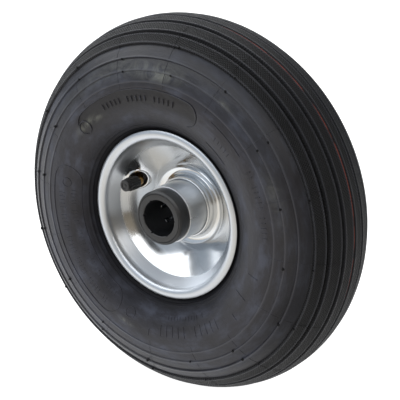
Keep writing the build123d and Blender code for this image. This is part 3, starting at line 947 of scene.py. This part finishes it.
def makeCap(material, rounds):
    start, body, tip, bore = valve["capStart"], valve["capRadius"], valve["capTip"], valve["capBore"]
    end, ribEnd = start + valve["capLength"], start + valve["ribEnd"]
    boreEnd = start + valve["capBoreDepth"] + 0.02
    corners = [
        (bore, start, 0), (body + 0.1, start, 0.25), (body, start + 1.0, 0), (body - 0.05, ribEnd, 0),
        (body - 0.02, ribEnd + 0.3, 0.1), (tip + 0.06, ribEnd + 0.6, 0.1), (tip, end, 0.75),
        (2.55, end, 0.12), (2.35, end - 0.5, 0.15), (1.25, end - 0.5, 0.12), (1.1, end - 0.1, 0.1),
        (0.02, end - 0.1, 0), (0.02, boreEnd, 0), (bore, boreEnd, 0),
    ]
    vertices, faces = turned([(r, -y) for r, y in rounded(corners)], 64)
    # one rib: half sunk, with rounded ends, on the local +X side
    size, sides = valve["ribRadius"], 8
    rows = [(0.0, 0.15), (0.15, 0.75), (0.45, 1.0)]
    rows = [(start + 0.35 + r, k) for r, k in rows] + [(ribEnd - r, k) for r, k in reversed(rows)]
    ribVertices = [((body + size * k * cos(turn)) * mm, -place * mm, size * k * sin(turn) * mm)
                   for place, k in rows for turn in turns(sides)]
    rib = bpy.data.meshes.new("capRib")
    rib.from_pydata(ribVertices, [], ringFaces(len(rows), sides))
    ribs = runTree("capRibs", rib, rounds, {"Count": valve["ribCount"], "First Angle": 0.0,
                                            "Step Angle": 2 * pi / valve["ribCount"], "Material": material})
    mesh = solidMesh("capBody", vertices, faces, (ribs.data,))
    bpy.data.objects.remove(ribs)
    mesh.transform(legFrame())
    piece = addObject("valveDustCap", mesh)
    dress(piece, material, bodyOf["valve_cap"], "black_polythene", ("valve_cap",), 35)


# Hub tube, end bushes and rollers

hub = {
    "sides": 360, "tubeWall": 2.0, "tubeFillet": 0.5, "faceGroove": 16.6, "faceChamfer": 1.3,
    "boreChamfer": 0.4, "spigot": 7.0, "boreRadius": 12.5, "notches": 6, "firstNotch": 2.0, "notchWidth": 0.9,
    "notchDepth": 0.6, "notchLength": 2.0,
}


def makeHubTube(material):
    inner, end, fillet = tubeRadius - hub["tubeWall"], tubeBox[1].y / mm, hub["tubeFillet"]
    outline = rounded([
        (inner, end, 0.3), (tubeRadius, end, fillet), (tubeRadius, -end, fillet), (inner, -end, 0.3)])
    vertices, faces = turned(subdivided(outline + outline[:1], 6.0)[:-1], hub["sides"] // 2)
    finishMesh("hubTubeDrawn", vertices, faces, material, "wheel", "zinc_plated_steel", ("hub_tube",), 40)


def makeBush(side, material):
    inner, step, face = tubeRadius - hub["tubeWall"], tubeBox[1].y / mm, abs(bushBox[0].y) / mm
    outer, bore, groove, chamfer = bushBox[1].z / mm, hub["boreRadius"], hub["faceGroove"], hub["faceChamfer"]
    notchEnd = face - hub["notchLength"]
    corners = [
        (bore, step - hub["spigot"], 0), (inner, step - hub["spigot"], 0.4), (inner, step, 0),
        (outer - 0.25, step, 0.1), (outer, step + 0.5, 0.2), (outer, face - chamfer, 0.35),
        (outer - chamfer, face, 0.35), (groove + 0.3, face, 0.08), (groove, face - 0.4, 0),
        (groove - 0.3, face, 0.08), (bore + hub["boreChamfer"], face, 0.15),
        (bore, face - hub["boreChamfer"], 0), (bore, face - 1.2, 0), (bore, notchEnd, 0),
        (bore, notchEnd - 0.05, 0), (bore, face - 6, 0),
    ]

    def notch(angle, r, y):
        turn = (degrees(angle) - hub["firstNotch"] + 30) % (360 / hub["notches"]) - 30
        near = abs(radians(turn)) * bore < hub["notchWidth"] / 2 + 0.02
        cut = near and r < bore + hub["notchDepth"] and abs(y) > notchEnd - 0.01
        return bore + hub["notchDepth"] if cut else r, y

    vertices, faces = turned([(r, side * y) for r, y in rounded(corners, 4)], hub["sides"], notch)
    name, node = ("endBushFront", "end_bush_front") if side < 0 else ("endBushRear", "end_bush_rear")
    finishMesh(name, vertices, faces, material, "wheel", "black_nylon", (node,), 35)


def makeRoller(number, material):
    node = f"roller_{number}"
    low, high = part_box(node)
    middle, size, half = (low + high) / 2, (high.x - low.x) / 2 / mm, (high.y - low.y) / 2 / mm
    corners = [(0.02, half, 0), (size, half, 0.4), (size, -half, 0.4), (0.02, -half, 0)]
    vertices, faces = turned(rounded(corners, 4), 40)
    vertices = [Vector(v) + Vector((middle.x, 0, middle.z)) for v in vertices]
    finishMesh(f"rollerGround{number}", vertices, faces, material, bodyOf[node], "bright_steel", (node,), 40)


# scene

# the floor's glow is painted light, not a lamp: its strength and warmth are set by place
floorLook = {
    "size": 6.0, "paint": "#b4b4b3", "openSide": 36.0,
    "glow": 1.0, "frontGlow": 0.8, "front": (0.05, 0.2), "frontWarm": "#ecdfca",   # metres ahead of the wheel
    "dim": 0.88, "dimSide": (26.0, 60.0), "dimFrom": (0.045, 0.14),                  # degrees, metres
}


def makeFloor():
    # white floor that glows: painted light, full behind the wheel, a little weaker and warmer in front, falling
    # off to the right
    material, add, place = startMaterial("whiteFloorPaintedGlow")
    side = radians(floorLook["openSide"])
    towards = add("VectorMath DOT_PRODUCT", {0: place, 1: (sin(side), -cos(side), 0)}).outputs["Value"]
    parts = add("SeparateXYZ", {0: place}).outputs
    bearing = add("Math ARCTAN2", {0: parts[0], 1: add("Math MULTIPLY", {0: parts[1], 1: -1.0})})
    right = add("MapRange SMOOTHSTEP", {
        0: bearing, "from": [radians(end) for end in floorLook["dimSide"]], "To Max": floorLook["dim"]})
    out = add("MapRange SMOOTHSTEP", {0: towards, "from": floorLook["dimFrom"]})
    front = add("MapRange SMOOTHSTEP", {0: towards, "from": floorLook["front"]})
    glow = add("MapRange", {0: front, "to": (floorLook["glow"], floorLook["frontGlow"])})
    left = add("Math SUBTRACT", {0: 1.0, 1: add("Math MULTIPLY", {0: right, 1: out})})
    tint = add("Mix RGBA", {0: front, 6: "#ffffff", 7: floorLook["frontWarm"]})
    endMaterial(add, {
        "Roughness": 0.85, "Base Color": floorLook["paint"], "Emission Color": tint.outputs[2],
        "Emission Strength": add("Math MULTIPLY", {0: glow, 1: left})})
    mesh = bpy.data.meshes.new("floor")
    size, level = floorLook["size"], tyreBox[0].z
    mesh.from_pydata([(-size, -size, level), (size, -size, level), (size, size, level), (-size, size, level)],
                     [], [(0, 1, 2, 3)])
    mesh.materials.append(material)
    addObject("floor", mesh)


cameraView = {"azimuth": 35.98, "elevation": 19.19, "distance": 0.950, "lens": 125.8,
              "acrossAim": 0.00523, "upAim": 0.00230}


def backwards(azimuth, elevation):
    # from the wheel towards a camera or light
    a, e = radians(azimuth), radians(elevation)
    return Vector((sin(a) * cos(e), -cos(a) * cos(e), sin(e)))


def makeCamera():
    back, a = backwards(cameraView["azimuth"], cameraView["elevation"]), radians(cameraView["azimuth"])
    right = Vector((cos(a), sin(a), 0))
    up = back.cross(right)
    aim = right * cameraView["acrossAim"] + up * cameraView["upAim"]
    data = bpy.data.cameras.new("studioCamera")
    data.lens = cameraView["lens"]
    data.sensor_width = 36
    data.clip_start, data.clip_end = 0.05, 50
    camera = addObject("studioCamera", data)
    camera.matrix_world = Matrix.Translation(aim + back * cameraView["distance"]) @ Matrix(
        (right, up, back)).transposed().to_4x4()
    bpy.context.scene.camera = camera


# a wide softbox high to the left of the camera and one beside the wheel: azimuth, elevation, distance,
# width, height in metres, power in W
softboxes = {
    "frontSoftbox": (-13, 52, 1.3, 4.2, 0.44, 15),
    "leftSoftbox": (-122, 46, 1.2, 1.3, 1.0, 11),
}
tent = {
    "cool": "#d4dfeb", "warm": "#e9dac2", "levels": (0.4, 0.13),      # plain and dark
    "darkSide": (0.985, -0.174, -0.1), "darkFrom": (0.78, 0.96), "warmFrom": (0.2, 0.75),
    "wallSide": (-0.492, -0.853, 0.174), "wallFrom": (0.45, 0.8), "wall": 0.5,
}


def makeLights():
    for name, (azimuth, elevation, distance, width, height, power) in softboxes.items():
        data = bpy.data.lights.new(name, "AREA")
        data.shape = "RECTANGLE"
        data.size, data.size_y, data.energy = width, height, power
        back = backwards(azimuth, elevation)
        addObject(name, data).matrix_world = Matrix.Translation(back * distance) @ back.to_track_quat(
            "Z", "Y").to_matrix().to_4x4()
    world = bpy.data.worlds.new("paleTent")
    world.use_nodes = True
    tree = world.node_tree
    background, add = tree.nodes["Background"], partial(addNode, tree)
    way = add("TexCoord").outputs["Generated"]
    side = add("VectorMath DOT_PRODUCT", {0: way, 1: tent["darkSide"]}).outputs["Value"]
    wall = add("VectorMath DOT_PRODUCT", {0: way, 1: tent["wallSide"]}).outputs["Value"]
    shade = add("MapRange SMOOTHSTEP", {0: side, "from": tent["darkFrom"], "to": tent["levels"]})
    lit = add("MapRange SMOOTHSTEP", {0: wall, "from": tent["wallFrom"], "To Max": tent["wall"]})
    tree.links.new(add("Math ADD", {0: shade, 1: lit}).outputs[0], background.inputs[1])
    warmth = add("MapRange", {0: side, "from": tent["warmFrom"]})
    colour = add("Mix RGBA", {0: warmth, 6: tent["cool"], 7: tent["warm"]})
    tree.links.new(colour.outputs[2], background.inputs[0])
    bpy.context.scene.world = world
    bpy.context.scene.view_settings.view_transform = "Standard"


rubber = mouldedRubber()
zinc = zincPlatedSteel()
finish = {key: plainFinish(*values) for key, values in plainFinishes.items()}
print("materials made")

# the inner pieces keep their own mesh and get a finish
keptPieces = {
    "beadWire": ("bead_wire_front", "bead_wire_rear"), "nylon": ("bearing_cage",),
    "steel": ("valve_core_spring",),
    "butyl": ("inner_tube", "valve_foot", "valve_core_gasket", "valve_core_seal", "valve_cap_seal"),
    "brass": ("valve_core_body", "valve_core_pin"),
}
for key, nodes in keptPieces.items():
    for node in nodes:
        shown = frame["nodes"][node].data.materials
        shown.clear()
        shown.append(finish[key])

beads, rounds, nubsTree = beadTree(), roundTree(), nubTree()
makeTyre(rubber)
makeMarks(rubber, beads, rounds)
# the nubs' blacker colour is painted shade
makeNubs(finish["cut"], nubsTree)
print("tyre made")
for side in (-1, 1):
    makeRim(side, zinc)
    makeBush(side, finish["nylon"])
makeValveCollar(zinc)
makeHubTube(finish["tubeZinc"])
print("rim and hub made")
makeStem(finish["brass"])
makeCap(finish["polythene"], rounds)
for number in range(1, 9):
    makeRoller(number, finish["steel"])
print("valve and rollers made")
makeFloor()
makeCamera()
makeLights()
print("studio made")
